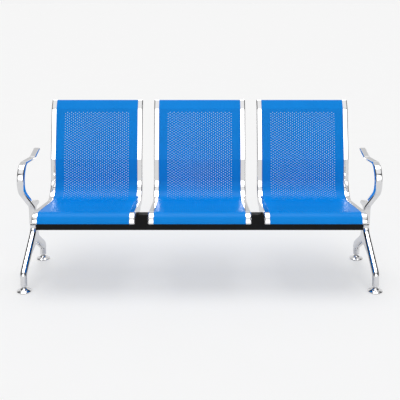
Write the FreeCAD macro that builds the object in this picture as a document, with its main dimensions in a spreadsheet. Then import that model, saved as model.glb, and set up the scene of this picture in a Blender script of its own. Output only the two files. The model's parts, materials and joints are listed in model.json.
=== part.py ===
import FreeCAD, Part
import math
import os
import Sketcher

# Three-seat beam seating: perforated steel shells between chromed side frames,
# a rectangular beam, cast end legs with loop armrests, and four levelling glides.
# Millimetres. X runs along the beam, Y to the rear, Z up, floor at Z = 0.

doc = FreeCAD.newDocument("BeamSeating")
sheet = doc.addObject("Spreadsheet::Sheet", "dims")

# Driving dimensions
driving = {
    "seat_pitch": 558,
    "foot_span": 1720,
    "front_foot": 284,
    "rear_foot": 158,
    "beam_depth": 50,
    "beam_height": 84,
    "beam_base": 231,
    "beam_middle": -13,
    "beam_wall": 3,
    "end_plate": 10,
    "sheet_width": 442,
    "sheet_gauge": 1.5,
    "flange_depth": 20,
    "lip_radius": 5,
    "front_edge": -305,
    "front_lean": 14,
    "front_height": 404,
    "front_radius": 52,
    "lip_height": 351,
    "bend_back": 166,
    "bend_height": 345.5,
    "bend_radius": 105,
    "kink_back": 197.5,
    "kink_height": 552,
    "kink_radius": 20,
    "curl_back": 282,
    "curl_height": 816,
    "top_back": 319,
    "top_height": 864,
    "rail_width": 27,
    "rail_proud": 1,
    "rail_depth": 24,
    "casting_width": 34,
    "post_front": -49,
    "post_depth": 37,
    "seam_height": 262,
    "foot_radius": 16,
    "foot_clear": 30,
    "glide_radius": 36,
    "glide_height": 22,
    "stud_radius": 5,
    "running_gap": 0.05,
    "bolt_radius": 4,
}
for row, (alias, value) in enumerate(driving.items(), start=1):
    sheet.set(f"A{row}", alias.replace("_", " "))
    sheet.set(f"B{row}", str(value))
    sheet.setAlias(f"B{row}", alias)
doc.recompute()


class Size:
    """A length in millimetres, with the sheet formula that gives it."""

    def __init__(self, value, formula):
        self.value = value
        self.formula = formula

    def __add__(self, other):
        other = size(other)
        return Size(self.value + other.value, f"({self.formula} + {other.formula})")

    def __sub__(self, other):
        other = size(other)
        return Size(self.value - other.value, f"({self.formula} - {other.formula})")

    def __mul__(self, factor):
        return Size(self.value * factor, f"({self.formula} * {factor})")

    def __truediv__(self, factor):
        return Size(self.value / factor, f"({self.formula} / {factor})")

    def __neg__(self):
        return Size(-self.value, f"(0 - {self.formula})")


def size(number):
    if isinstance(number, Size):
        return number
    return Size(float(number), f"({float(number)})")


def cell(alias):
    return Size(float(sheet.get(alias)), f"dims.{alias}")


def bind(thing, path, length):
    thing.setExpression(path, size(length).formula)


# Sketches
def newSketch(body, name, role, lift=0):
    plane = [f for f in body.Origin.OriginFeatures if f.Role == role][0]
    sketch = body.newObject("Sketcher::SketchObject", name)
    sketch.AttachmentSupport = [(plane, "")]
    sketch.MapMode = "FlatFace"
    bind(sketch, "AttachmentOffset.Base.z", lift)
    return sketch


def fixPoint(sketch, geometry, end, across, up):
    for kind, length in (("DistanceX", across), ("DistanceY", up)):
        index = sketch.addConstraint(Sketcher.Constraint(kind, -1, 1, geometry, end, length.value))
        sketch.renameConstraint(index, f"{kind}{index}")
        bind(sketch, f"Constraints.{kind}{index}", length)


def fixRadius(sketch, geometry, radius):
    index = sketch.addConstraint(Sketcher.Constraint("Radius", geometry, radius.value))
    sketch.renameConstraint(index, f"Radius{index}")
    bind(sketch, f"Constraints.Radius{index}", radius)


def roundCorner(before, corner, after, radius):
    """Centre and tangent points of the arc that rounds a corner; left says which way it turns."""
    inward = (corner - before).normalize()
    outward = (after - corner).normalize()
    left = inward.cross(outward).z > 0
    reach = radius * math.tan(inward.getAngle(outward) / 2)
    start = corner - inward * reach
    end = corner + outward * reach
    side = FreeCAD.Vector(-inward.y, inward.x, 0) * (radius if left else -radius)
    return start + side, start, end, left


def outline(body, name, role, corners, closed=True, lift=0):
    """A sketch of straight runs joined by tangent arcs: corners are (across, up, radius)."""
    sketch = newSketch(body, name, role, lift)
    corners = [[size(number) for number in corner] for corner in corners]
    points = [FreeCAD.Vector(across.value, up.value, 0) for across, up, radius in corners]
    count = len(points)
    starts = list(points)
    ends = list(points)
    arcs = {}
    for i, (across, up, radius) in enumerate(corners):
        if radius.value > 0 and (closed or 0 < i < count - 1):
            centre, starts[i], ends[i], left = roundCorner(
                points[i - 1], points[i], points[(i + 1) % count], radius.value)
            first, last = (starts[i], ends[i]) if left else (ends[i], starts[i])
            circle = Part.Circle(centre, FreeCAD.Vector(0, 0, 1), radius.value)
            angles = [math.atan2(p.y - centre.y, p.x - centre.x) for p in (first, last)]
            if angles[1] < angles[0]:
                angles[1] += 2 * math.pi
            arc = sketch.addGeometry(Part.ArcOfCircle(circle, *angles))
            arcs[i] = (arc, left)
    runs = count if closed else count - 1
    for i in range(runs):
        follow = (i + 1) % count
        if (starts[follow] - ends[i]).dot(points[follow] - points[i]) < 0:
            raise ValueError(f"{name}: the arcs at corners {i} and {follow} overlap")
    lines = [sketch.addGeometry(Part.LineSegment(ends[i], starts[(i + 1) % count])) for i in range(runs)]
    for i, (across, up, radius) in enumerate(corners):
        before = lines[i - 1] if closed or i > 0 else None
        after = lines[i] if i < runs else None
        if i in arcs:
            arc, left = arcs[i]
            sketch.addConstraint(Sketcher.Constraint("Tangent", before, 2, arc, 1 if left else 2))
            sketch.addConstraint(Sketcher.Constraint("Tangent", arc, 2 if left else 1, after, 1))
            fixRadius(sketch, arc, radius)
            mark = sketch.addGeometry(Part.Point(points[i]), True)
            sketch.addConstraint(Sketcher.Constraint("PointOnObject", mark, 1, before))
            sketch.addConstraint(Sketcher.Constraint("PointOnObject", mark, 1, after))
            fixPoint(sketch, mark, 1, across, up)
        elif before is None:
            fixPoint(sketch, after, 1, across, up)
        elif after is None:
            fixPoint(sketch, before, 2, across, up)
        else:
            sketch.addConstraint(Sketcher.Constraint("Coincident", before, 2, after, 1))
            fixPoint(sketch, after, 1, across, up)
    return sketch


def discs(body, name, role, centres, radius, lift=0):
    """A sketch of equal circles at the given (across, up) centres."""
    sketch = newSketch(body, name, role, lift)
    radius = size(radius)
    for centre in centres:
        across, up = [size(number) for number in centre]
        circle = Part.Circle(FreeCAD.Vector(across.value, up.value, 0), FreeCAD.Vector(0, 0, 1), radius.value)
        index = sketch.addGeometry(circle)
        fixRadius(sketch, index, radius)
        fixPoint(sketch, index, 3, across, up)
    return sketch


# Features
def newBody(name, x=0, y=0, z=0):
    body = doc.addObject("PartDesign::Body", name)
    for axis, length in (("x", x), ("y", y), ("z", z)):
        bind(body, f"Placement.Base.{axis}", length)
    return body


def pad(body, name, sketch, length, side="Symmetric", backwards=False):
    feature = body.newObject("PartDesign::Pad", name)
    feature.Profile = sketch
    feature.SideType = side
    feature.Reversed = backwards
    bind(feature, "Length", length)
    doc.recompute()
    return feature


def pocket(body, name, sketch, length, side="Symmetric", backwards=False):
    volume = body.Shape.Volume
    feature = body.newObject("PartDesign::Pocket", name)
    feature.Profile = sketch
    feature.SideType = side
    feature.Reversed = backwards
    bind(feature, "Length", length)
    doc.recompute()
    if body.Shape.Volume > volume - 1:
        raise ValueError(f"{name} in {body.Name} cuts nothing")
    return feature


def roundEdges(body, name, radius, wanted):
    """Fillet the edges of the body's tip that the test picks."""
    base = body.Tip
    edges = [f"Edge{i}" for i, edge in enumerate(base.Shape.Edges, start=1) if wanted(edge)]
    feature = body.newObject("PartDesign::Fillet", name)
    feature.Base = (base, edges)
    bind(feature, "Radius", radius)
    doc.recompute()
    return feature


def turned(body, name, sketch):
    feature = body.newObject("PartDesign::Revolution", name)
    feature.Profile = sketch
    feature.ReferenceAxis = (sketch, ["V_Axis"])
    feature.Angle = 360
    doc.recompute()
    return feature


pieces = {}
sides = {"left": -1, "right": 1}

# Beam: a rectangular tube with a threaded plate welded in each end
beamTop = cell("beam_base") + cell("beam_height")
beamMiddle = cell("beam_middle")
beamFront = beamMiddle - cell("beam_depth") / 2
beamRear = beamMiddle + cell("beam_depth") / 2
castingInner = cell("foot_span") / 2 - cell("casting_width") / 2
castingOuter = cell("foot_span") / 2 + cell("casting_width") / 2
seatCentres = {"left": -cell("seat_pitch"), "centre": size(0), "right": cell("seat_pitch")}
legBolts = [(-25, 248), (0, 298)]
armBolt = (-30, 290)
footReach = 40
footBoltInset = 24
footThickness = 8
footBoltRows = [-14, 14]
headRadius = 6.5
headHeight = 8
screwRadius = 2.5
screwReach = 12
studFoot = 6
openingColumns = 11
openingPitch = 32
openingWide = 14
openingLong = 22
openingThrough = 12
glideReach = 50
nutRadius = 9.2
nutHeight = 7


def rectangle(front, rear, base, top, radius):
    return [(front, base, radius), (rear, base, radius), (rear, top, radius), (front, top, radius)]


def frameBoltCentres():
    """Where the side frames bolt to the beam, as (x, y)."""
    middle = cell("sheet_width") / 2 - footBoltInset
    return [(centre + middle * side, beamMiddle + row)
            for centre in seatCentres.values() for side in (-1, 1) for row in footBoltRows]


def makeBeam():
    body = newBody("beam_tube")
    wall = cell("beam_wall")
    corner = 5
    outer = rectangle(beamFront, beamRear, cell("beam_base"), beamTop, corner)
    inner = rectangle(beamFront + wall, beamRear - wall, cell("beam_base") + wall, beamTop - wall, corner - 3)
    length = castingInner * 2
    pad(body, "TubeOutside", outline(body, "OuterSection", "YZ_Plane", outer), length)
    pocket(body, "TubeBore", outline(body, "InnerSection", "YZ_Plane", inner), length)
    holes = discs(body, "FrameHoles", "XY_Plane", frameBoltCentres(), cell("bolt_radius"), beamTop)
    pocket(body, "FrameBoltHoles", holes, wall + 1, "One side")
    pieces["beam_tube"] = body


def makeEndPlate(name, side):
    body = newBody(f"beam_end_plate_{name}", (castingInner - cell("end_plate") / 2) * side)
    wall = cell("beam_wall")
    section = rectangle(beamFront + wall, beamRear - wall, cell("beam_base") + wall, beamTop - wall, 2)
    pad(body, "Plate", outline(body, "PlateSection", "YZ_Plane", section), cell("end_plate"))
    holes = discs(body, "Threads", "YZ_Plane", legBolts + [armBolt], cell("bolt_radius"))
    pocket(body, "ThreadedHoles", holes, cell("end_plate") * 2)
    pieces[body.Name] = body


# Seat shell: one sheet from the front lip, over the pan and up the back, with flanged sides
def seatLine(start, end):
    """The visible seat line from the front edge to the top, between the given end corners."""
    return start + [
        (cell("front_edge") + cell("front_lean"), cell("front_height"), cell("front_radius")),
        (cell("bend_back"), cell("bend_height"), cell("bend_radius")),
        (cell("kink_back"), cell("kink_height"), cell("kink_radius")),
        (cell("curl_back"), cell("curl_height"), cell("kink_radius")),
    ] + end


def shellLine():
    lip = cell("lip_radius")
    hem = 20
    front = [(cell("front_edge") + hem, cell("lip_height"), 0), (cell("front_edge"), cell("lip_height"), lip)]
    rear = [(cell("top_back"), cell("top_height"), lip), (cell("top_back") + 8, cell("top_height") - hem, 0)]
    return seatLine(front, rear)


def strip(name, line, depth, width, x):
    """A band as deep as depth below the line, running across the seat for width."""
    band = doc.addObject("Part::Offset2D", f"{name}_band")
    band.Source = line
    band.Mode = "Skin"
    band.Join = "Intersection"
    band.Fill = True
    bind(band, "Value", depth)
    run = doc.addObject("Part::Extrusion", name)
    run.Base = band
    run.DirMode = "Custom"
    run.Dir = FreeCAD.Vector(1, 0, 0)
    run.Symmetric = True
    bind(run, "LengthFwd", width)
    bind(run, "Placement.Base.x", x)
    return run


def makeShell():
    """The centre seat's shell; the other two seats' shells are repeats of it."""
    carrier = doc.addObject("PartDesign::Body", "shell_lines")
    line = outline(carrier, "SeatLine", "YZ_Plane", shellLine(), closed=False)
    flangeLine = outline(carrier, "FlangeLine", "YZ_Plane", flangeCorners(), closed=False)
    doc.recompute()
    gauge = cell("sheet_gauge")
    runs = [strip("sheet", line, gauge, cell("sheet_width"), 0)]
    for name, side in sides.items():
        x = (cell("sheet_width") - gauge) / 2 * side
        runs.append(strip(f"flange_{name}", flangeLine, cell("flange_depth"), gauge, x))
    whole = doc.addObject("Part::MultiFuse", "sheet_and_flanges")
    whole.Shapes = runs
    cutters = doc.addObject("Part::Compound", "shell_cutters")
    cutters.Links = screwDrills() + openingPunches()
    shell = doc.addObject("Part::Cut", "seat_shell_centre")
    shell.Base = whole
    shell.Tool = cutters
    doc.recompute()
    pieces[shell.Name] = shell


def screwDrills():
    drills = []
    for i, (y, z) in enumerate(screwPlaces()):
        drill = doc.addObject("Part::Cylinder", f"drill_{i}")
        bind(drill, "Radius", screwRadius)
        bind(drill, "Height", cell("sheet_width") + 2)
        drill.Placement = FreeCAD.Placement(FreeCAD.Vector(0, 0, 0), FreeCAD.Rotation(FreeCAD.Vector(0, 1, 0), 90))
        for axis, length in (("x", cell("sheet_width") / -2 - 1), ("y", y), ("z", z)):
            bind(drill, f"Placement.Base.{axis}", length)
        drills.append(drill)
    return drills


def openingPunches():
    """A plain grid of openings in the straight runs of the pan and the back, row by row."""
    front, bend, kink, curl = seatLine([], [])
    runs = {
        "pan": (front, bend, [0.165, 0.265, 0.365, 0.465, 0.565, 0.665]),
        "lower_back": (bend, kink, [0.6, 0.82]),
        "upper_back": (kink, curl, [0.11, 0.276, 0.442, 0.608, 0.774]),
    }
    punches = []
    for run, (start, end, shares) in runs.items():
        slope = math.atan2((end[1] - start[1]).value, (end[0] - start[0]).value)
        turn = FreeCAD.Rotation(FreeCAD.Vector(1, 0, 0), math.degrees(slope))
        toCorner = turn.multVec(FreeCAD.Vector(0, openingLong / 2, openingThrough / 2))
        for row, share in enumerate(shares):
            y, z, radius = between(start, end, share)
            for column in range(openingColumns):
                punch = doc.addObject("Part::Box", f"opening_{run}_{row}_{column}")
                bind(punch, "Length", openingWide)
                bind(punch, "Width", openingLong)
                bind(punch, "Height", openingThrough)
                punch.Placement.Rotation = turn
                middle = (column - (openingColumns - 1) / 2) * openingPitch
                bind(punch, "Placement.Base.x", middle - openingWide / 2)
                bind(punch, "Placement.Base.y", y - toCorner.y)
                bind(punch, "Placement.Base.z", z - toCorner.z)
                punches.append(punch)
    return punches


def repeatPiece(name, original, x):
    """The same piece again, further along the beam."""
    again = doc.addObject("App::Link", name)
    again.LinkedObject = original
    again.LinkTransform = True
    bind(again, "Placement.Base.x", x)
    pieces[name] = again


def between(start, end, share):
    """The point that lies the given share of the way from one corner to the next."""
    return tuple(a + (b - a) * share for a, b in zip(start[:2], end[:2])) + (0,)


def flangeCorners():
    front, bend, kink, curl = seatLine([], [])
    return [between(front, bend, 0.13), bend, kink, between(kink, curl, 0.9)]


def screwPlaces():
    """Where screws hold the flanges to the side frames, as (y, z)."""
    front, bend, kink, curl = seatLine([], [])
    half = cell("flange_depth") / 2
    pan = [between(front, bend, share) for share in (0.24, 0.72)]
    back = [between(bend, kink, 0.72), between(kink, curl, 0.72)]
    return [(y, z - half) for y, z, radius in pan] + [(y + half, z) for y, z, radius in back]


# Side frame: one casting under each edge of the shell, with a foot that sits on the beam
def railCorners():
    """Upper line along the shell, then back down the rear and under the pan to the foot."""
    proud = cell("rail_proud")
    depth = cell("rail_depth")
    tip = [(cell("front_edge") + 16, cell("lip_height") - 1, 7), (cell("front_edge") - proud, cell("lip_height") - 1, 7)]
    upper = seatLine([], [])
    upper[0] = (cell("front_edge") + cell("front_lean") - proud, cell("front_height") + proud,
                cell("front_radius") + proud)
    upper[1] = (cell("bend_back") - proud, cell("bend_height") + proud, cell("bend_radius") - proud)
    upper[2] = (cell("kink_back") - proud, cell("kink_height"), cell("kink_radius") * 2)
    upper[3] = (cell("curl_back") - proud, cell("curl_height") + proud, cell("kink_radius"))
    top = [(cell("top_back") - proud, cell("top_height") + proud, 7), (cell("top_back") + 10, cell("top_height") - 11, 7)]
    rear = [
        (cell("curl_back") + depth * 0.8, cell("curl_height") - depth * 0.45, cell("kink_radius") * 1.5),
        (cell("kink_back") + depth * 1.2, cell("kink_height"), cell("kink_radius") * 4),
        (cell("bend_back") + depth * 1.15, cell("bend_height") - depth, cell("bend_radius") + 10),
    ]
    foot = [
        (beamRear + 26, beamTop + 16, 12),
        (beamRear + 8, beamTop, 6),
        (beamFront - 22, beamTop, 14),
        (beamFront - 70, cell("bend_height") + 3, 60),
        (cell("front_edge") + depth * 1.5, cell("front_height") - depth * 1.1, cell("front_radius") / 2),
    ]
    return tip + upper + top + rear + foot


def makeSideFrame(name, side):
    """The centre seat's frame on one side; the other seats' frames are repeats of it."""
    x = (cell("sheet_width") + cell("rail_width")) / 2 * side
    body = newBody(f"side_frame_centre_{name}", x)
    rail = pad(body, "Rail", outline(body, "RailOutline", "YZ_Plane", railCorners()), cell("rail_width"))
    outer = cell("rail_width").value / 2 * side
    roundEdges(body, "OuterEdge", 5, lambda edge: onPlane(edge, "x", outer))
    reach = cell("rail_width") / 2 + footReach
    footX = [-reach, cell("rail_width") / -2 + 2] if side > 0 else [cell("rail_width") / 2 - 2, reach]
    foot = rectangle(footX[0], footX[1], beamFront, beamRear, 6)
    pad(body, "Foot", outline(body, "FootOutline", "XY_Plane", foot, lift=beamTop), footThickness, "One side")
    inward = -(cell("rail_width") / 2 + footBoltInset) * side
    holes = discs(body, "FootHoles", "XY_Plane", [(inward, beamMiddle + row) for row in footBoltRows],
                  cell("bolt_radius") + 0.5, beamTop + footThickness)
    pocket(body, "FootBoltHoles", holes, footThickness, "One side")
    threads = discs(body, "ScrewThreads", "YZ_Plane", screwPlaces(), screwRadius, cell("rail_width") / -2 * side)
    pocket(body, "ShellScrewHoles", threads, screwReach, "One side", backwards=side > 0)
    pieces[body.Name] = body


def onPlane(edge, axis, place):
    """Whether an edge lies wholly in the plane across one axis."""
    box = edge.BoundBox
    low, high = {"x": (box.XMin, box.XMax), "y": (box.YMin, box.YMax), "z": (box.ZMin, box.ZMax)}[axis]
    return abs(low - place) < 0.01 and abs(high - place) < 0.01


# End leg: one casting with a head beside the beam, two tapering round-edged limbs and two round feet
footBase = cell("foot_clear") + 14
feet = {"front": -cell("front_foot"), "rear": cell("rear_foot")}


def legCorners():
    """Front of the head, down the front limb, round the arch, and up the rear limb."""
    foot = cell("foot_radius")
    head = cell("post_front")
    notch = head + cell("post_depth")
    return [
        (head, cell("seam_height"), 0), (head, cell("seam_height") - 26, 30),
        (feet["front"] - foot, footBase + 50, 60), (feet["front"] - foot, footBase, 0),
        (feet["front"] + foot, footBase, 0), (feet["front"] + foot, footBase + 38, 30),
        (beamMiddle - 144, beamTop - 176, 60), (beamMiddle - 9, beamTop - 152, 30),
        (feet["rear"] - foot, footBase + 19, 30), (feet["rear"] - foot, footBase, 0),
        (feet["rear"] + foot, footBase, 0), (feet["rear"] + foot, footBase + 57, 45),
        (beamRear + 3, beamTop - 118, 30), (beamRear + 3, beamTop + 3, 14),
        (notch, beamTop + 3, 0), (notch, cell("seam_height"), 0),
    ]


def makeLeg(name, side):
    body = newBody(f"leg_{name}", cell("foot_span") / 2 * side)
    half = cell("casting_width").value / 2
    pad(body, "Casting", outline(body, "LegOutline", "YZ_Plane", legCorners()), cell("casting_width"))
    roundEdges(body, "CastEdges", 12, lambda edge: onFaces(edge, half) and edge.BoundBox.ZMin > footBase.value + 1
               and edge.BoundBox.ZMax < cell("seam_height").value - 1)
    centres = [(0, place) for place in feet.values()]
    shanks = discs(body, "FootShanks", "XY_Plane", centres, cell("foot_radius"), cell("foot_clear"))
    pad(body, "RoundFeet", shanks, 50, "One side")
    threads = discs(body, "GlideThreads", "XY_Plane", centres, cell("stud_radius") + cell("running_gap"),
                    cell("foot_clear"))
    pocket(body, "GlideBores", threads, glideReach + 2, "One side", backwards=True)
    boltHoles(body, legBolts, side)
    pieces[body.Name] = body


def onFaces(edge, half):
    """Whether an edge lies in either side face of a casting."""
    return onPlane(edge, "x", half) or onPlane(edge, "x", -half)


def boltHoles(body, centres, side):
    """Through holes to the beam's end plate, with seats for the bolt heads on the outer side."""
    holes = discs(body, "BeamBoltHoles", "YZ_Plane", centres, cell("bolt_radius"))
    pocket(body, "BeamBoltBores", holes, cell("casting_width") * 2)
    seats = discs(body, "BoltHeadSeats", "YZ_Plane", centres, headRadius + 0.5, cell("casting_width") / 2 * side)
    pocket(body, "BoltHeadPockets", seats, headHeight + 1, "One side", backwards=side < 0)


# Armrest: a C-shaped casting on a post that stands in the notch of the leg's head
def armCorners():
    """The tip, over the hand rest and round the front to the post, then back along the inner side."""
    post = cell("post_front")
    rear = post + cell("post_depth")
    seam = cell("seam_height")
    return [
        (131, 636, 7), (20, 610, 150), (-200, 632, 80), (-260, 568, 80), (-257, 492, 80), (post, 357, 30),
        (post, seam, 0), (rear, seam, 0), (rear, 349, 12), (52, 350, 9), (52, 369, 9),
        (-60, 392, 70), (-222, 500, 60), (-230, 558, 60), (-176, 614, 50), (20, 596, 150), (126, 619, 7),
    ]


def makeArm(name, side):
    body = newBody(f"armrest_{name}", cell("foot_span") / 2 * side)
    half = cell("casting_width").value / 2
    seam = cell("seam_height").value
    pad(body, "Loop", outline(body, "ArmOutline", "YZ_Plane", armCorners()), cell("casting_width"))
    roundEdges(body, "LoopEdges", 5, lambda edge: onFaces(edge, half) and edge.BoundBox.ZMax > seam + 1)
    boltHoles(body, [armBolt], side)
    pieces[body.Name] = body


# Levelling glides: a domed pad, a stud that turns in it, and a lock nut under the leg
def makeGlide(end, name, side):
    x = cell("foot_span") / 2 * side
    y = feet[end]
    gap = cell("running_gap")
    foot = newBody(f"foot_pad_{end}_{name}", x, y)
    rim = cell("glide_radius")
    height = cell("glide_height")
    dome = [(0, 0, 0), (rim - 6, 0, 0), (rim, 4, 0), (rim, 7, 0), (rim * 0.7, height - 9, 0),
            (rim * 0.45, height - 5, 0), (13, height, 0), (0, height, 0)]
    turned(foot, "Dome", outline(foot, "DomeOutline", "XZ_Plane", dome))
    socket = discs(foot, "StudSocket", "XY_Plane", [(0, 0)], cell("stud_radius") + gap, height)
    pocket(foot, "SocketBore", socket, height - studFoot, "One side")
    pieces[foot.Name] = foot
    stud = newBody(f"foot_stud_{end}_{name}", x, y)
    rod = discs(stud, "Rod", "XY_Plane", [(0, 0)], cell("stud_radius"), studFoot)
    pad(stud, "StudRod", rod, cell("foot_clear") + glideReach - studFoot, "One side")
    pieces[stud.Name] = stud
    nut = newBody(f"foot_lock_nut_{end}_{name}", x, y)
    hexagon = [(nutRadius * math.cos(math.radians(60 * i)), nutRadius * math.sin(math.radians(60 * i)), 0)
               for i in range(6)]
    pad(nut, "Hexagon", outline(nut, "HexagonOutline", "XY_Plane", hexagon, lift=cell("foot_clear") - nutHeight),
        nutHeight, "One side")
    bore = discs(nut, "NutThread", "XY_Plane", [(0, 0)], cell("stud_radius") + gap, cell("foot_clear"))
    pocket(nut, "NutBore", bore, nutHeight, "One side")
    pieces[nut.Name] = nut


# Fasteners: one group of separate bolts for each thing they hold
def makeBolts(name, places, turn, length, radius, head, tall):
    """Socket-head bolts, each at the underside of its head, with its shank along the turned -Z."""
    bolts = []
    for i, place in enumerate(places):
        shank = doc.addObject("Part::Cylinder", f"{name}_shank_{i}")
        cap = doc.addObject("Part::Cylinder", f"{name}_cap_{i}")
        bind(shank, "Radius", radius)
        bind(shank, "Height", length)
        bind(cap, "Radius", head)
        bind(cap, "Height", tall)
        shank.Placement.Base = FreeCAD.Vector(0, 0, -size(length).value)
        socket = doc.addObject("Part::Prism", f"{name}_socket_{i}")
        socket.Polygon = 6
        bind(socket, "Circumradius", size(radius) * 0.85)
        bind(socket, "Height", tall)
        socket.Placement.Base = FreeCAD.Vector(0, 0, size(tall).value / 2)
        whole = doc.addObject("Part::Fuse", f"{name}_whole_{i}")
        whole.Base = shank
        whole.Tool = cap
        bolt = doc.addObject("Part::Cut", f"{name}_bolt_{i}")
        bolt.Base = whole
        bolt.Tool = socket
        bolt.Placement = FreeCAD.Placement(FreeCAD.Vector(0, 0, 0), turn)
        for axis, length_ in zip("xyz", place):
            bind(bolt, f"Placement.Base.{axis}", length_)
        bolts.append(bolt)
    group = doc.addObject("Part::Compound", name)
    group.Links = bolts
    doc.recompute()
    pieces[name] = group


def makeFasteners():
    upright = FreeCAD.Rotation()
    inwardBolt = cell("casting_width") - (headHeight + 1) + cell("end_plate") - 1
    for name, centre in seatCentres.items():
        middle = cell("sheet_width") / 2 - footBoltInset
        places = [(centre + middle * side, beamMiddle + row, beamTop + footThickness)
                  for side in (-1, 1) for row in footBoltRows]
        makeBolts(f"frame_bolts_{name}", places, upright, footThickness + 4, cell("bolt_radius"), headRadius,
                  headHeight - 2)
        flange = cell("sheet_width") / 2 - cell("sheet_gauge")
        for sideName, side in sides.items():
            turn = FreeCAD.Rotation(FreeCAD.Vector(0, 1, 0), -90 * side)
            places = [(centre + flange * side, y, z) for y, z in screwPlaces()]
            makeBolts(f"shell_screws_{name}_{sideName}", places, turn, cell("sheet_gauge") + screwReach,
                      screwRadius, screwRadius * 1.7, screwRadius)
    for name, side in sides.items():
        turn = FreeCAD.Rotation(FreeCAD.Vector(0, 1, 0), 90 * side)
        face = (castingOuter - headHeight - 1) * side
        makeBolts(f"leg_bolts_{name}", [(face, y, z) for y, z in legBolts], turn, inwardBolt,
                  cell("bolt_radius"), headRadius, headHeight)
        makeBolts(f"arm_bolt_{name}", [(face, *armBolt)], turn, inwardBolt,
                  cell("bolt_radius"), headRadius, headHeight)


def build():
    makeBeam()
    for name, side in sides.items():
        makeEndPlate(name, side)
    makeShell()
    for name, side in sides.items():
        makeSideFrame(name, side)
    for seat, centre in seatCentres.items():
        if seat != "centre":
            repeatPiece(f"seat_shell_{seat}", pieces["seat_shell_centre"], centre)
            for name in sides:
                repeatPiece(f"side_frame_{seat}_{name}", pieces[f"side_frame_centre_{name}"], centre)
    for name, side in sides.items():
        makeLeg(name, side)
        makeArm(name, side)
        for end in feet:
            makeGlide(end, name, side)
    makeFasteners()


def check():
    doc.recompute()
    for thing in doc.Objects:
        if "Invalid" in thing.State or "Error" in thing.State:
            raise ValueError(f"{thing.Name} did not build: {thing.State}")
    for name, piece in pieces.items():
        shape = Part.getShape(piece)
        if shape.isNull() or not shape.isValid():
            raise ValueError(f"{name} has no valid shape")


def export():
    os.makedirs("parts", exist_ok=True)
    for name, piece in pieces.items():
        piece.Label = name
        shape = Part.getShape(piece)
        shape.exportStep(f"parts/{name}.step")
        print(name, len(shape.Solids), round(shape.Volume), shape.BoundBox)


build()
check()
export()
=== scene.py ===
import json
import math

import bmesh
import bpy
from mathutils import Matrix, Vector

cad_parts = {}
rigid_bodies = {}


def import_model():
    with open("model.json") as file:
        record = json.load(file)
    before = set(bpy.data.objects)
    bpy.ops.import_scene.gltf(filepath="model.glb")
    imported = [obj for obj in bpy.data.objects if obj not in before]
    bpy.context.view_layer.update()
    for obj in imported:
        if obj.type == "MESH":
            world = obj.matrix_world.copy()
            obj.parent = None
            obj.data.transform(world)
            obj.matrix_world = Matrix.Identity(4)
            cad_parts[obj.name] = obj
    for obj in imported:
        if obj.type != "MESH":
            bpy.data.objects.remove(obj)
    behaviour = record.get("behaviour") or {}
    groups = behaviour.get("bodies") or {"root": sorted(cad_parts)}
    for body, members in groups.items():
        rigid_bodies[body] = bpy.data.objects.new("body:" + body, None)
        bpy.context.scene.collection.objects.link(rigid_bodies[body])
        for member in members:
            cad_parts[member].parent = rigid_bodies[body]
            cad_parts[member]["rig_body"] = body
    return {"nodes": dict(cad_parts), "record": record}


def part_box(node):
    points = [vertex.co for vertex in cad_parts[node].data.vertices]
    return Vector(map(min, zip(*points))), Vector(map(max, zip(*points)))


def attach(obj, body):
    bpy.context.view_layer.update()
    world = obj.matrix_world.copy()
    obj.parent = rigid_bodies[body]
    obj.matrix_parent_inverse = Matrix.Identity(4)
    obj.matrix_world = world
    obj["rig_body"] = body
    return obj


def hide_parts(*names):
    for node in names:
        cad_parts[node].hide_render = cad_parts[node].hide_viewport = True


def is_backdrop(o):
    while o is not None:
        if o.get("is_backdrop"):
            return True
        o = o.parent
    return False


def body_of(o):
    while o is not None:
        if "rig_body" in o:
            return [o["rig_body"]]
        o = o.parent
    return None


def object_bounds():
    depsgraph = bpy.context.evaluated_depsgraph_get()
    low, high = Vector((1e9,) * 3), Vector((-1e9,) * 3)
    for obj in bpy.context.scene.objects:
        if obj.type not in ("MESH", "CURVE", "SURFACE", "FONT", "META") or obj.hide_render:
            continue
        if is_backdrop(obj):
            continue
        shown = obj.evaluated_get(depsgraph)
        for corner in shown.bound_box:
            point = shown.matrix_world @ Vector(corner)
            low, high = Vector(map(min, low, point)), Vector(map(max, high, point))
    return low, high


# Three perforated seats on a beam. Sizes are millimetres until a piece is finished, then metres.
for thing in list(bpy.data.objects):
    bpy.data.objects.remove(thing)
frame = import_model()
nodes = frame["nodes"]
cadLow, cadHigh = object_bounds()
mm = 0.001
seatNames = ("left", "centre", "right")
sideNames = {"left": -1, "right": 1}
slots = {part["node"]: part["material_slot"] for part in frame["record"]["subparts"]}


# Shader nodes, written as arithmetic
class Wire:
    def __init__(self, finish, socket):
        self.finish = finish
        self.socket = socket

    def calc(self, operation, first, second=0.0, clamp=False):
        values = {0: first, 1: second}
        return self.finish.node("ShaderNodeMath", values, operation=operation, use_clamp=clamp)

    def __add__(self, other):
        return self.calc("ADD", self, other)

    def __radd__(self, other):
        return self.calc("ADD", other, self)

    def __sub__(self, other):
        return self.calc("SUBTRACT", self, other)

    def __rsub__(self, other):
        return self.calc("SUBTRACT", other, self)

    def __mul__(self, other):
        return self.calc("MULTIPLY", self, other)

    def __rmul__(self, other):
        return self.calc("MULTIPLY", other, self)

    def __abs__(self):
        return self.calc("ABSOLUTE", self)

    def clamped(self):
        return self.calc("ADD", self, 0.0, clamp=True)

    def smooth(self, low, high):   # rises from 0 to 1 between the two values
        values = {"Value": self, "From Min": low, "From Max": high}
        return self.finish.node("ShaderNodeMapRange", values, interpolation_type="SMOOTHSTEP")

    def band(self, low, high, soft):   # 1 between the two values, with soft edges outside them
        return self.smooth(low - soft, low) * (1 - self.smooth(high, high + soft))


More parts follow.
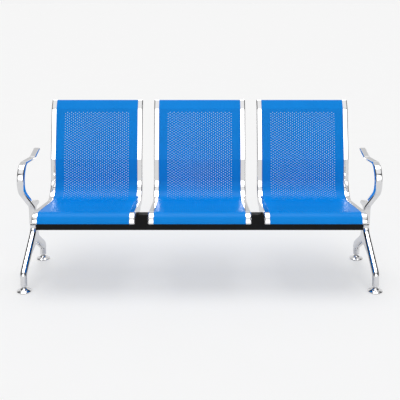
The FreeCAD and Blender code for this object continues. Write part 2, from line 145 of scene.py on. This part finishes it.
class Finish:
    def __init__(self, owner):
        owner.use_nodes = True
        self.owner = owner
        self.tree = owner.node_tree
        self.tree.nodes.clear()

    def node(self, kind, values=None, output=0, **settings):
        made = self.tree.nodes.new(kind)
        for name, setting in settings.items():
            setattr(made, name, setting)
        for key, value in (values or {}).items():
            if isinstance(value, Wire):
                self.tree.links.new(value.socket, made.inputs[key])
            else:
                made.inputs[key].default_value = value
        return Wire(self, made.outputs[output]) if made.outputs else None

    def place(self):
        return self.node("ShaderNodeTexCoord", output="Object")

    def noise(self, scale, detail=2.0):
        return self.node("ShaderNodeTexNoise", {"Vector": self.place(), "Scale": scale, "Detail": detail},
                         output="Fac")

    def parts(self, vector):
        split = self.node("ShaderNodeSeparateXYZ", {0: vector})
        return [Wire(self, socket) for socket in split.socket.node.outputs]

    def blend(self, share, first, second):   # of two colours
        return self.node("ShaderNodeMix", {0: share, 6: first, 7: second}, output=2, data_type="RGBA")

    def bump(self, height, distance, strength=1.0):
        return self.node("ShaderNodeBump", {"Height": height, "Distance": distance, "Strength": strength})

    def surface(self, values):
        return self.end(self.node("ShaderNodeBsdfPrincipled", values))

    def end(self, shader, kind="ShaderNodeOutputMaterial"):
        self.node(kind, {"Surface": shader})
        return self.owner


def newFinish(name):
    return Finish(bpy.data.materials.new(name))


bluePowder = {
    "colour": (0.0010, 0.248, 0.775, 1),
    "shade": (0.0008, 0.224, 0.71, 1),
    "roughness": 0.34,
    "gloss": 0.09,
    "cloud": 6.0,          # sizes of the two noises
    "peel": 900.0,
    "peelDepth": 0.00004,
}


def makeBluePowder():   # semi-gloss powder coat: fine orange peel, faint cloudiness
    f = newFinish("bluePowder")
    patch = f.noise(bluePowder["cloud"], 3.0)
    peel = f.noise(bluePowder["peel"])
    return f.surface({
        "Base Color": f.blend((patch * 1.6 - 0.3).clamped(), bluePowder["shade"], bluePowder["colour"]),
        "Roughness": bluePowder["roughness"] + (patch - 0.5) * 0.06 + (peel - 0.5) * 0.06,
        "Specular IOR Level": bluePowder["gloss"],
        "Normal": f.bump(peel, bluePowder["peelDepth"]),
    })


chrome = {
    "low": (0.86, 0.86, 0.87, 1),
    "high": (0.92, 0.92, 0.93, 1),
    "roughness": 0.03,
    "wave": 22.0,
    "waveDepth": 0.0006,
    "haze": 420.0,
    "seamShadeColour": (0.02, 0.02, 0.02, 1),
    "seam": (0.2621, 0.2666, 0.0002),   # painted shade in the reveal under each armrest post: from, to and softness, metres
    "seamRear": -0.0125,
}


def makeChrome():   # bright plate over a polished casting: slow waviness, fine haze, and painted shade in the reveal at the seam
    f = newFinish("chromePlate")
    wave = f.noise(chrome["wave"], 1.0)
    haze = f.noise(chrome["haze"], 3.0)
    across, along, up = f.parts(f.place())
    # painted shade: a black band on the chrome in the reveal just above the seam, standing in for the shadow
    # inside it
    paintedSeamShade = up.band(*chrome["seam"]) * (1 - along.smooth(chrome["seamRear"] - 0.001, chrome["seamRear"]))
    plate = f.blend(haze, chrome["low"], chrome["high"])
    return f.surface({
        "Base Color": f.blend(paintedSeamShade, plate, chrome["seamShadeColour"]),
        "Metallic": 1.0,
        "Roughness": chrome["roughness"] + haze * 0.04,
        "Normal": f.bump(wave, chrome["waveDepth"], 0.4),
    })


blackPowder = {
    "low": (0.009, 0.009, 0.0085, 1),
    "high": (0.014, 0.0138, 0.013, 1),
    "roughness": 0.42,
    "gloss": 0.12,
    "cloud": 9.0,
    "peel": 1100.0,
    "peelDepth": 0.00005,
}


def makeBlackPowder():
    f = newFinish("blackPowder")
    patch = f.noise(blackPowder["cloud"], 3.0)
    peel = f.noise(blackPowder["peel"])
    return f.surface({
        "Base Color": f.blend(patch, blackPowder["low"], blackPowder["high"]),
        "Roughness": blackPowder["roughness"] + patch * 0.12,
        "Specular IOR Level": blackPowder["gloss"],
        "Normal": f.bump(peel, blackPowder["peelDepth"]),
    })


zincPlate = {
    "low": (0.50, 0.50, 0.49, 1),
    "high": (0.68, 0.68, 0.67, 1),
    "roughness": 0.26,
    "cloud": 300.0,
    "cloudDepth": 0.00005,
}


def makeZinc():
    f = newFinish("zincPlate")
    cloud = f.noise(zincPlate["cloud"], 3.0)
    return f.surface({
        "Base Color": f.blend(cloud, zincPlate["low"], zincPlate["high"]),
        "Metallic": 1.0,
        "Roughness": zincPlate["roughness"] + cloud * 0.14,
        "Normal": f.bump(cloud, zincPlate["cloudDepth"]),
    })


finishes = {"seat_blue": makeBluePowder(), "chrome": makeChrome(), "beam_black": makeBlackPowder(),
            "zinc": makeZinc()}
for node, slot in slots.items():
    mesh = nodes[node].data
    mesh.materials.clear()
    mesh.materials.append(finishes[slot])
print("finishes are on the frame's nodes")


# Meshes
def finishMesh(bm, name, slot, node, body="root", angle=30):
    # metres, smooth faces, and in the place of the node that it stands for
    bmesh.ops.scale(bm, vec=(mm, mm, mm), verts=bm.verts)
    mesh = bpy.data.meshes.new(name)
    bm.to_mesh(mesh)
    bm.free()
    mesh.shade_smooth()
    mesh.set_sharp_from_angle(angle=math.radians(angle))
    mesh.materials.append(finishes[slot])
    piece = bpy.data.objects.new(name, mesh)
    bpy.context.scene.collection.objects.link(piece)
    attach(piece, body)
    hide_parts(node)
    return piece


def flatShading(piece):   # flat faces stay flat beside their rounded edges
    even = piece.modifiers.new("evenNormals", "WEIGHTED_NORMAL")
    even.keep_sharp = True


def movedVerts(geometry):
    return [v for v in geometry if isinstance(v, bmesh.types.BMVert)]


def middleOf(node):
    low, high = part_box(node)
    return (low + high) / 2 / mm


def turnFrom(axis):   # the rotation that brings an axis onto X
    return Vector(axis).rotation_difference(Vector((1, 0, 0))).to_matrix()


def roundedFace(bm, corners, turnStep=6):
    # a flat face across X; corners are back, up and radius
    verts = [bm.verts.new((0, back, up)) for back, up, radius in corners]
    places = [v.co.copy() for v in verts]
    bm.faces.new(verts)
    for i, vert in enumerate(verts):
        radius = corners[i][2]
        if radius:
            inward = places[i] - places[i - 1]
            outward = places[(i + 1) % len(places)] - places[i]
            turn = inward.angle(outward)
            bmesh.ops.bevel(bm, geom=[vert], offset=radius * math.tan(turn / 2), offset_type="OFFSET",
                            segments=max(2, round(math.degrees(turn) / turnStep)), profile=0.5,
                            affect="VERTICES", material=-1)


def thicken(bm, width):   # the flat face becomes a solid, half to each side
    bmesh.ops.translate(bm, vec=(-width / 2, 0, 0), verts=bm.verts)
    far = bmesh.ops.extrude_face_region(bm, geom=bm.faces[:])["geom"]
    bmesh.ops.translate(bm, vec=(width, 0, 0), verts=movedVerts(far))
    bmesh.ops.recalc_face_normals(bm, faces=bm.faces)


def roundRims(bm, x, rounding, segments, sharp=lambda p: False, profile=0.5):
    # the edges in the side face at x; those whose ends both pass the test stay sharp
    rims = [edge for edge in bm.edges if all(abs(v.co.x - x) < 0.01 for v in edge.verts)
            and not all(sharp(v.co) for v in edge.verts)]
    bmesh.ops.bevel(bm, geom=rims, offset=rounding, offset_type="OFFSET", segments=segments,
                    profile=profile, affect="EDGES", material=-1)


def cutAcross(bm, height, wanted, clear=False):
    # a level cut through the part whose vertices pass the test
    verts = [v for v in bm.verts if wanted(v.co)]
    chosen = set(verts)
    edges = [edge for edge in bm.edges if all(v in chosen for v in edge.verts)]
    faces = [face for face in bm.faces if all(v in chosen for v in face.verts)]
    bmesh.ops.bisect_plane(bm, geom=verts + edges + faces, dist=0.001, plane_co=(0, 0, height),
                           plane_no=(0, 0, 1), clear_inner=clear)


def lathe(corners, steps, turnStep=12):
    # turns half a section about Z; corners are out, up and radius, and the ends lie on the axis
    bm = bmesh.new()
    roundedFace(bm, corners, turnStep)
    bmesh.ops.delete(bm, geom=bm.faces[:], context="FACES_ONLY")
    axis = [edge for edge in bm.edges if all(abs(v.co.y) < 0.001 for v in edge.verts)]
    bmesh.ops.delete(bm, geom=axis, context="EDGES")
    bmesh.ops.spin(bm, geom=bm.verts[:] + bm.edges[:], cent=(0, 0, 0), axis=(0, 0, 1), angle=math.tau,
                   steps=steps, use_merge=True, use_duplicate=False)
    bmesh.ops.remove_doubles(bm, verts=bm.verts, dist=0.001)
    bmesh.ops.recalc_face_normals(bm, faces=bm.faces)
    return bm


# Seat shells: the punched field is made flat, gets its margins and flanges, and is bent to the seat line
seat = {
    "width": 442,
    "gauge": 1.5,
    "corners": [   # the visible line from the front hem to the rear hem: back, up, radius
        (-285, 351, 0), (-305, 351, 5), (-291, 404, 52), (166, 345.5, 105), (197.5, 552, 20),
        (282, 816, 20), (319, 864, 5), (327, 844, 0)],
    "columns": 33,
    "columnPitch": 10.7,
    "rows": 62,
    "holePitch": 13.95,
    "holeRadius": 1.75,
    "holeSides": 12,
    "firstRow": 80.65,    # the lowest hole, along the line from the front hem
    "runStep": 4.5,
    "flange": 20,
    "fold": 3,
    "foldSteps": 4,
    "flangeFrom": 118,
    "flangeTo": 935,
    "relief": 6,          # the plain strip at both ends of the fold
}


class RoundedLine:   # straight runs joined by tangent arcs, measured by the length along them
    def __init__(self, corners):
        points = [Vector(corner[:2]) for corner in corners]
        radii = [corner[2] for corner in corners[1:]]
        self.runs = []
        start = points[0]
        for before, corner, after, radius in zip(points, points[1:], points[2:], radii):
            inward = (corner - before).normalized()
            outward = (after - corner).normalized()
            turn = math.atan2(inward.cross(outward), inward.dot(outward))
            reach = radius * math.tan(abs(turn) / 2)
            bend = corner - inward * reach
            self.runs.append((start, inward, (bend - start).length, 0))
            if radius:
                self.runs.append((bend, inward, radius * abs(turn), math.copysign(1 / radius, turn)))
            start = corner + outward * reach
        last = points[-1] - start
        self.runs.append((start, last.normalized(), last.length, 0))
        self.length = sum(run[2] for run in self.runs)

    def at(self, distance):   # the point at that length, and the direction there
        distance = min(max(distance, 0), self.length - 1e-6)
        for start, heading, length, curve in self.runs:
            if distance <= length:
                break
            distance -= length
        if curve == 0:
            return start + heading * distance, heading
        turn = distance * curve
        side = Vector((-heading.y, heading.x))
        point = start + (heading * math.sin(turn) + side * (1 - math.cos(turn))) / curve
        return point, heading * math.cos(turn) + side * math.sin(turn)


def punchedTile(bm):   # a hole in a rectangle whose long sides have a middle point
    wide = seat["columnPitch"] / 2
    tall = seat["holePitch"] / 2
    bmesh.ops.create_circle(bm, segments=seat["holeSides"], radius=seat["holeRadius"])
    rim = bm.edges[:]
    border = [bm.verts.new((x, y, 0)) for x, y in
              ((wide, 0), (wide, tall), (-wide, tall), (-wide, 0), (-wide, -tall), (wide, -tall))]
    rim += [bm.edges.new((border[i - 1], border[i])) for i in range(len(border))]
    bmesh.ops.bridge_loops(bm, edges=rim)


def repeat(bm, count, step):   # copies of the whole mesh, each moved by what step gives, all joined
    whole = bm.verts[:] + bm.edges[:] + bm.faces[:]
    for i in range(1, count):
        copy = bmesh.ops.duplicate(bm, geom=whole)["geom"]
        bmesh.ops.translate(bm, vec=step(i), verts=movedVerts(copy))
    bmesh.ops.remove_doubles(bm, verts=bm.verts, dist=0.01)


def stretch(bm, wanted, shift):   # extrudes the border edges whose ends both pass the test
    edges = [edge for edge in bm.edges if edge.is_boundary and all(wanted(v.co) for v in edge.verts)]
    fresh = bmesh.ops.extrude_edge_only(bm, edges=edges)["geom"]
    bmesh.ops.translate(bm, vec=shift, verts=movedVerts(fresh))
    bmesh.ops.remove_doubles(bm, verts=bm.verts, dist=0.01)


def runOut(bm, start, end):   # carries the border at one end of the field to the end of the line
    steps = math.ceil(abs(end - start) / seat["runStep"])
    step = (end - start) / steps
    for i in range(steps):
        edge = start + i * step
        stretch(bm, lambda p: abs(p.y - edge) < 0.1, (0, step, 0))


def punchedField(bm):
    punchedTile(bm)
    pitch = seat["holePitch"]
    repeat(bm, seat["rows"], lambda i: (0, i * pitch, 0))
    repeat(bm, seat["columns"], lambda i: (i * seat["columnPitch"], pitch / 2 if i % 2 else 0, 0))
    first = -seat["columnPitch"] * (seat["columns"] - 1) / 2
    bmesh.ops.translate(bm, vec=(first, seat["firstRow"], 0), verts=bm.verts)


def foldFlange(bm, side):   # the sheet's edge turns down, with a short plain strip at both ends
    flat = seat["width"] / 2 - seat["fold"]
    low, high = seat["flangeFrom"], seat["flangeTo"]
    relief = seat["relief"]
    turn = math.pi / 2 / seat["foldSteps"]
    across, down = 0, 0
    for i in range(1, seat["foldSteps"] + 1):
        newAcross = seat["fold"] * math.sin(turn * i)
        newDown = seat["fold"] * (1 - math.cos(turn * i))
        x, z = flat + across, -down
        stretch(bm, lambda p: abs(p.x * side - x) < 0.01 and abs(p.z - z) < 0.01 and low < p.y < high,
                ((newAcross - across) * side, 0, down - newDown))
        across, down = newAcross, newDown
    stretch(bm, lambda p: abs(p.z + down) < 0.01 and p.x * side > 0, (0, 0, down - seat["flange"]))
    stretch(bm, lambda p: abs(p.x * side - flat) < 0.01 and abs(p.z) < 0.01
            and not low + relief < p.y < high - relief, (seat["fold"] * side, 0, 0))


def flatShell(length):   # the whole sheet before bending: x across, y along the line, z off the surface
    bm = bmesh.new()
    punchedField(bm)
    pitch = seat["holePitch"]
    low = seat["firstRow"] - pitch / 2
    high = low + (seat["rows"] + 0.5) * pitch
    stretch(bm, lambda p: abs(p.y - low - pitch / 2) < 0.1, (0, -pitch / 2, 0))
    stretch(bm, lambda p: abs(p.y - high + pitch / 2) < 0.1, (0, pitch / 2, 0))
    runOut(bm, low, 0)
    runOut(bm, high, length)
    half = seat["columnPitch"] * seat["columns"] / 2
    flat = seat["width"] / 2 - seat["fold"]
    for side in (-1, 1):
        stretch(bm, lambda p: abs(p.x - half * side) < 0.1, ((flat - half) * side, 0, 0))
        foldFlange(bm, side)
    return bm


def bentShell():
    line = RoundedLine(seat["corners"])
    bm = flatShell(line.length)
    for vert in bm.verts:
        point, heading = line.at(vert.co.y)
        off = Vector((-heading.y, heading.x)) * vert.co.z
        vert.co = (vert.co.x, point.x + off.x, point.y + off.y)
    bmesh.ops.recalc_face_normals(bm, faces=bm.faces)
    bmesh.ops.solidify(bm, geom=bm.faces[:], thickness=seat["gauge"])
    bmesh.ops.recalc_face_normals(bm, faces=bm.faces)
    return bm


shell = bentShell()
for name in seatNames:
    node = f"seat_shell_{name}"
    bm = shell.copy()
    bmesh.ops.translate(bm, vec=(middleOf(node).x, 0, 0), verts=bm.verts)
    finishMesh(bm, f"punched_shell_{name}", "seat_blue", node)
shell.free()
print("three punched shells")


# Side frames: a rail that follows the shell, and a foot plate on the beam
rail = {
    "width": 27,
    "corners": [   # front tip, along the shell to the top, down the rear, and under the pan
        (-289, 350, 7), (-306, 350, 7), (-292, 405, 53), (165, 346.5, 104), (196.5, 552, 40),
        (281, 817, 34), (318, 864.5, 7), (329, 853, 7), (301.2, 805.2, 30), (226.3, 552, 80),
        (193.6, 321.5, 115), (38, 331, 12), (20, 315, 6), (-60, 315, 14), (-108, 348.5, 60),
        (-269, 377.6, 26)],
    "rounding": 6,
    "profile": 0.36,
    "innerRounding": 1.2,
    "plate": (42, 50, 8),      # across, along and up
    "plateOverlap": 2,
    "plateCorner": 6,
    "plateMiddle": -13,
    "beamTop": 315,
}


def footPlate(bm, side):
    wide, long, tall = rail["plate"]
    plate = bmesh.ops.create_cube(bm, size=1)["verts"]
    bmesh.ops.scale(bm, vec=rail["plate"], verts=plate)
    upright = {edge for v in plate for edge in v.link_edges
               if abs(edge.verts[0].co.z - edge.verts[1].co.z) > 1}
    bmesh.ops.bevel(bm, geom=list(upright), offset=rail["plateCorner"], offset_type="OFFSET", segments=4,
                    profile=0.5, affect="EDGES", material=-1)
    inner = (rail["width"] / 2 - rail["plateOverlap"] + wide / 2) * side
    loose = [v for v in bm.verts if abs(v.co.z) < tall]
    bmesh.ops.translate(bm, vec=(-inner, rail["plateMiddle"], rail["beamTop"] + tall / 2), verts=loose)


for name in seatNames:
    for sideName, side in sideNames.items():
        node = f"side_frame_{name}_{sideName}"
        bm = bmesh.new()
        roundedFace(bm, rail["corners"])
        thicken(bm, rail["width"])
        roundRims(bm, rail["width"] / 2 * side, rail["rounding"], 5, profile=rail["profile"])
        roundRims(bm, rail["width"] / -2 * side, rail["innerRounding"], 2)
        footPlate(bm, side)
        low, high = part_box(node)
        outer = (high if side > 0 else low).x / mm - rail["width"] / 2 * side
        bmesh.ops.translate(bm, vec=(outer, 0, 0), verts=bm.verts)
        flatShading(finishMesh(bm, f"rail_{name}_{sideName}", "chrome", node))
print("six side frames")


# End castings: a leg with two limbs, and the loop armrest that stands in the notch of its head
casting = {
    "width": 34,
    "seam": 262,
    "notch": -12,
    "profile": 0.42,       # of the rounded edges: 0.5 is round, 0.25 a flat chamfer
    "pocket": (7, 9),      # for a bolt head: radius and depth
}
leg = {
    "corners": [   # front of the head, down the front limb, round the arch, up the rear limb
        (-49, 262, 0), (-49, 236, 30), (-300, 97, 35), (-300, 10, 0), (-268, 10, 0), (-268, 82, 24),
        (-157, 139, 60), (-22, 163, 30), (142, 63, 30), (142, 10, 0), (174, 10, 0), (174, 101, 45),
        (15, 197, 30), (15, 318, 14), (-12, 318, 0), (-12, 262, 0)],
    "rounding": 13,
    "base": 30,
    "feet": {"front": (-284, 96), "rear": (158, 76)},   # the place, and how high it is a round tube
    "footReach": 40,       # half the length of the limb's lower end
    "rings": (1.5, 12),    # cuts above the base
    "tube": 16,
    "blend": 22,           # the height over which tube turns into limb
    "bolts": [(-25, 248), (0, 298)],
}
arm = {
    "corners": [   # the tip, over the hand rest and round the front to the post, back along the inside
        (131, 636, 7), (20, 610, 150), (-200, 632, 80), (-260, 568, 80), (-257, 492, 80), (-49, 357, 30),
        (-49, 262, 0), (-12, 262, 0), (-12, 349, 12), (52, 350, 9), (52, 369, 9), (-60, 392, 70),
        (-222, 500, 60), (-230, 558, 60), (-176, 614, 50), (20, 596, 150), (126, 619, 7)],
    "rounding": 6.6,
    "post": -30.5,         # its middle, back
    "neck": (266.8, 2.4),  # the reveal above the seam: its top and depth
    "groove": (277.5, 1.1, 1.3),   # its height, half width and depth
    "cutReach": 300,       # how far above the seam the faces that are cut may end
    "bolts": [(-30, 290)],
}


def squeezeRing(bm, height, inset, low=0):
    # draws the post in where it lies between the two heights
    for vert in bm.verts:
        if low < vert.co.z < height + 0.05:
            across = Vector((vert.co.x, vert.co.y - arm["post"]))
            across *= 1 - inset / (casting["width"] / 2)
            vert.co.x, vert.co.y = across.x, across.y + arm["post"]


def boltPockets(piece, bolts, face):
    # seats for the bolt heads in the outer face, which is given as its place along X
    radius, depth = casting["pocket"]
    bm = bmesh.new()
    for back, up in bolts:
        pocket = bmesh.ops.create_cone(bm, cap_ends=True, segments=32, radius1=radius, radius2=radius,
                                       depth=depth * 2)["verts"]
        bmesh.ops.rotate(bm, verts=pocket, matrix=turnFrom((0, 0, 1)))
        bmesh.ops.translate(bm, verts=pocket, vec=(face, back, up))
    bmesh.ops.scale(bm, vec=(mm, mm, mm), verts=bm.verts)
    mesh = bpy.data.meshes.new("pockets")
    bm.to_mesh(mesh)
    bm.free()
    cutter = bpy.data.objects.new("pockets", mesh)
    bpy.context.scene.collection.objects.link(cutter)
    cut = piece.modifiers.new("pockets", "BOOLEAN")
    cut.object = cutter
    cut.solver = "EXACT"
    seen = piece.evaluated_get(bpy.context.evaluated_depsgraph_get())
    carved = bpy.data.meshes.new_from_object(seen)
    carved.name = piece.name
    piece.modifiers.clear()
    piece.data = carved
    bpy.data.objects.remove(cutter)
    carved.set_sharp_from_angle(angle=math.radians(30))


def roundFoot(bm, place, top):
    # the limb's lower end becomes a round tube
    for vert in bm.verts:
        across = Vector((vert.co.x, vert.co.y - place))
        if vert.co.z < top + 0.1 and across.length < casting["width"]:
            share = min(1, (top - vert.co.z) / leg["blend"])
            share = share * share * (3 - 2 * share)
            across = across.lerp(across.normalized() * leg["tube"], share)
            vert.co.x, vert.co.y = across.x, across.y + place


def makeLeg():
    bm = bmesh.new()
    roundedFace(bm, leg["corners"])
    thicken(bm, casting["width"])
    for x in (-casting["width"] / 2, casting["width"] / 2):
        roundRims(bm, x, leg["rounding"], 7,
                  lambda p: p.z > casting["seam"] - 0.1 and p.y < casting["notch"] + 0.1,
                  casting["profile"])
    for place, top in leg["feet"].values():
        isFoot = lambda p: abs(p.y - place) < leg["footReach"]
        heights = [leg["base"] + ring for ring in leg["rings"]]
        heights += [top - leg["blend"] * share for share in (2, 1, 0.5, 0)]
        for height in heights:
            cutAcross(bm, height, isFoot)
    cutAcross(bm, leg["base"], lambda p: True, clear=True)
    rims = [edge for edge in bm.edges if edge.is_boundary]
    bmesh.ops.holes_fill(bm, edges=rims)
    for place, top in leg["feet"].values():
        roundFoot(bm, place, top)
    bmesh.ops.recalc_face_normals(bm, faces=bm.faces)
    return bm


def makeArm():
    bm = bmesh.new()
    roundedFace(bm, arm["corners"])
    thicken(bm, casting["width"])
    for x in (-casting["width"] / 2, casting["width"] / 2):
        roundRims(bm, x, arm["rounding"], 5, lambda p: p.z < casting["seam"] + 0.1, casting["profile"])
    height, half, depth = arm["groove"]
    top, inset = arm["neck"]
    isPost = lambda p: p.z < casting["seam"] + arm["cutReach"]
    for level in (top, top + 0.8, height - half, height, height + half):
        cutAcross(bm, level, isPost)
    squeezeRing(bm, top, inset)
    squeezeRing(bm, height, depth, height - 0.05)
    return bm


for kind, sizes, make in (("leg", leg, makeLeg), ("armrest", arm, makeArm)):
    model = make()
    for sideName, side in sideNames.items():
        node = f"{kind}_{sideName}"
        middle = middleOf(node).x
        bm = model.copy()
        bmesh.ops.translate(bm, vec=(middle, 0, 0), verts=bm.verts)
        piece = finishMesh(bm, f"cast_{node}", "chrome", node)
        boltPockets(piece, sizes["bolts"], middle + casting["width"] / 2 * side)
        flatShading(piece)
    model.free()
    print("two pieces of", kind)


# Levelling glides: lens-shaped pad, threaded stud and lock nut
glide = {
    "pad": [   # half the section: out, up, radius
        (0, 0, 0), (30.5, 0, 2), (36, 4.4, 3), (36, 6.6, 3), (26, 11.6, 22), (15.2, 15.2, 9), (13, 22, 2.5),
        (5.1, 22, 0), (5.1, 6, 0), (0, 6, 0)],
    "steps": 64,
    "studSteps": 20,
    "studRadius": 5,
    "threadDepth": 0.7,
    "threadPitch": 1.5,
    "stud": (6, 80),       # its lower and upper ends
    "nut": (9.2, 23, 30),  # corner radius, lower and upper faces
    "nutChamfer": 0.9,
}


def threadedStud():
    low, high = glide["stud"]
    turns = int((high - low) / glide["threadPitch"])
    pitch = (high - low) / turns
    outer = glide["studRadius"]
    inner = outer - glide["threadDepth"]
    corners = [(0, low, 0), (inner, low, 0)]
    for i in range(turns):
        corners += [(outer, low + pitch * (i + 0.5), 0), (inner, low + pitch * (i + 1), 0)]
    return lathe(corners + [(0, high, 0)], glide["studSteps"])


def lockNut():
    radius, low, high = glide["nut"]
    bm = bmesh.new()
    bmesh.ops.create_circle(bm, cap_ends=True, segments=6, radius=radius)
    bmesh.ops.rotate(bm, verts=bm.verts, matrix=turnFrom((0, 1, 0)))
    bmesh.ops.translate(bm, vec=(0, 0, low), verts=bm.verts)
    far = bmesh.ops.extrude_face_region(bm, geom=bm.faces[:])["geom"]
    bmesh.ops.translate(bm, vec=(0, 0, high - low), verts=movedVerts(far))
    rims = [edge for edge in bm.edges if abs(edge.verts[0].co.z - edge.verts[1].co.z) < 0.01]
    bmesh.ops.bevel(bm, geom=rims, offset=glide["nutChamfer"], offset_type="OFFSET", segments=2, profile=0.5,
                    affect="EDGES", material=-1)
    bmesh.ops.recalc_face_normals(bm, faces=bm.faces)
    return bm


models = {"foot_pad": lathe(glide["pad"], glide["steps"]), "foot_stud": threadedStud(),
          "foot_lock_nut": lockNut()}
for kind, model in models.items():
    for node in (f"{kind}_{end}_{sideName}" for end in leg["feet"] for sideName in sideNames):
        bm = model.copy()
        middle = middleOf(node)
        bmesh.ops.translate(bm, vec=(middle.x, middle.y, 0), verts=bm.verts)
        piece = finishMesh(bm, f"turned_{node}", slots[node], node, body_of(nodes[node])[0])
    model.free()
print("four glides")


# Camera, light and floor
camera = {
    "place": (0.0017, -3.590, 1.446),
    "pitch": 11.73,       # below the horizon, degrees
    "lens": 64.8,
    "shift": -0.15,
    "reach": 200,
}


def makeCamera():
    lens = bpy.data.cameras.new("camera")
    lens.lens = camera["lens"]
    lens.shift_y = camera["shift"]
    lens.clip_end = camera["reach"]
    piece = bpy.data.objects.new("camera", lens)
    piece.location = camera["place"]
    piece.rotation_euler = (math.radians(90 - camera["pitch"]), 0, 0)
    bpy.context.scene.collection.objects.link(piece)
    bpy.context.scene.camera = piece


studio = {
    "backdrop": 0.913,
    "fill": 0.5,          # what the world adds to matt surfaces
    "room": 1.0,          # what polished metal sees all round
    "top": 1.6,           # the overhead light, watts per square metre
    "topSpread": 42,      # its size, degrees
    "topTilt": (-5, -2),  # how far it leans to the front and to one side, degrees
    "front": 0.45,
    "frontSpread": 40,
    "frontTilt": (58, 0),
    "floorSide": 160,     # metres
    "floorOwnLight": 0.55,        # the share of its own light that the camera sees,
    "floorInMetal": (0.3, 0.3),   # and that the metal sees, and how bright that is
}
darkSides = {   # the metal sees them left and right, up to a height
    "dark": 0.9,
    "turn": 0.7,
    "edge": (0.12, 0.24),
    "top": (0.72, 0.9),
}
darkZones = {   # how much darker than the room, how high with the softness, and where along the view
    "rear wall": {"dark": 0.34, "up": (-0.04, 0.16, 0.05), "along": (0.3, 0.6), "inFront": False},
    "front wall": {"dark": 0.15, "up": (-0.3, 0.2, 0.05), "along": (-0.6, -0.4), "inFront": True},
    "ceiling": {"dark": 0.3, "up": (0.4, 0.85, 0.12), "along": (-0.3, 0.1), "inFront": False},
    "strip": {"dark": 0.85, "up": (0.6, 0.78, 0.03), "along": (-0.3, -0.1), "inFront": True},
}


def grey(level):
    return (level, level, level, 1)


def zoneShade(zone, along, up):
    reach = along.smooth(*zone["along"])
    return up.band(*zone["up"]) * ((1 - reach) if zone["inFront"] else reach) * zone["dark"]


def makeWorld():
    world = bpy.data.worlds.new("studio")
    bpy.context.scene.world = world
    f = Finish(world)
    sees = f.node("ShaderNodeLightPath", output="Is Camera Ray")
    mirrors = f.node("ShaderNodeLightPath", output="Is Glossy Ray")
    across, along, up = f.parts(f.node("ShaderNodeTexCoord", output="Generated"))
    sides = (abs(across) - abs(along) * darkSides["turn"]).smooth(*darkSides["edge"])
    sides *= 1 - up.smooth(*darkSides["top"])
    shades = sum(zoneShade(zone, along, up) for zone in darkZones.values())
    room = studio["room"] * (1 - sides * darkSides["dark"]) * (1 - shades)
    strength = sees + (1 - sees) * (mirrors * room + (1 - mirrors) * studio["fill"])
    f.end(f.node("ShaderNodeBackground", {"Color": grey(studio["backdrop"]), "Strength": strength}),
          "ShaderNodeOutputWorld")


def makeSun(name, strength, spread, tilt):
    light = bpy.data.lights.new(name, "SUN")
    light.energy = strength
    light.angle = math.radians(spread)
    lamp = bpy.data.objects.new(name, light)
    lamp.rotation_euler = [math.radians(angle) for angle in tilt] + [0]
    bpy.context.scene.collection.objects.link(lamp)


def makeFloor():
    bm = bmesh.new()
    bmesh.ops.create_grid(bm, x_segments=1, y_segments=1, size=studio["floorSide"] / 2)
    mesh = bpy.data.meshes.new("floor")
    bm.to_mesh(mesh)
    bm.free()
    f = newFinish("floorPaper")
    sees = f.node("ShaderNodeLightPath", output="Is Camera Ray")
    mirrors = f.node("ShaderNodeLightPath", output="Is Glossy Ray")
    shade = f.blend(f.noise(3.0), grey(0.90), grey(0.925))
    paper = f.node("ShaderNodeBsdfPrincipled", {"Base Color": shade, "Roughness": 0.9,
                                                "Specular IOR Level": 0.1})
    metalShare, metalLevel = studio["floorInMetal"]
    level = sees + mirrors * metalLevel
    own = f.node("ShaderNodeEmission", {"Color": grey(studio["backdrop"]), "Strength": level})
    share = sees * studio["floorOwnLight"] + mirrors * metalShare
    mesh.materials.append(f.end(f.node("ShaderNodeMixShader", {0: share, 1: paper, 2: own})))
    floor = bpy.data.objects.new("floor", mesh)
    bpy.context.scene.collection.objects.link(floor)
    floor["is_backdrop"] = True


bpy.context.scene.view_settings.view_transform = "Standard"
makeCamera()
makeWorld()
makeSun("overhead", studio["top"], studio["topSpread"], studio["topTilt"])
makeSun("front", studio["front"], studio["frontSpread"], studio["frontTilt"])
makeFloor()
print("camera, light and floor")

low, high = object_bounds()
sizes = {"cad": [list(cadLow), list(cadHigh)], "visual": [list(low), list(high)]}
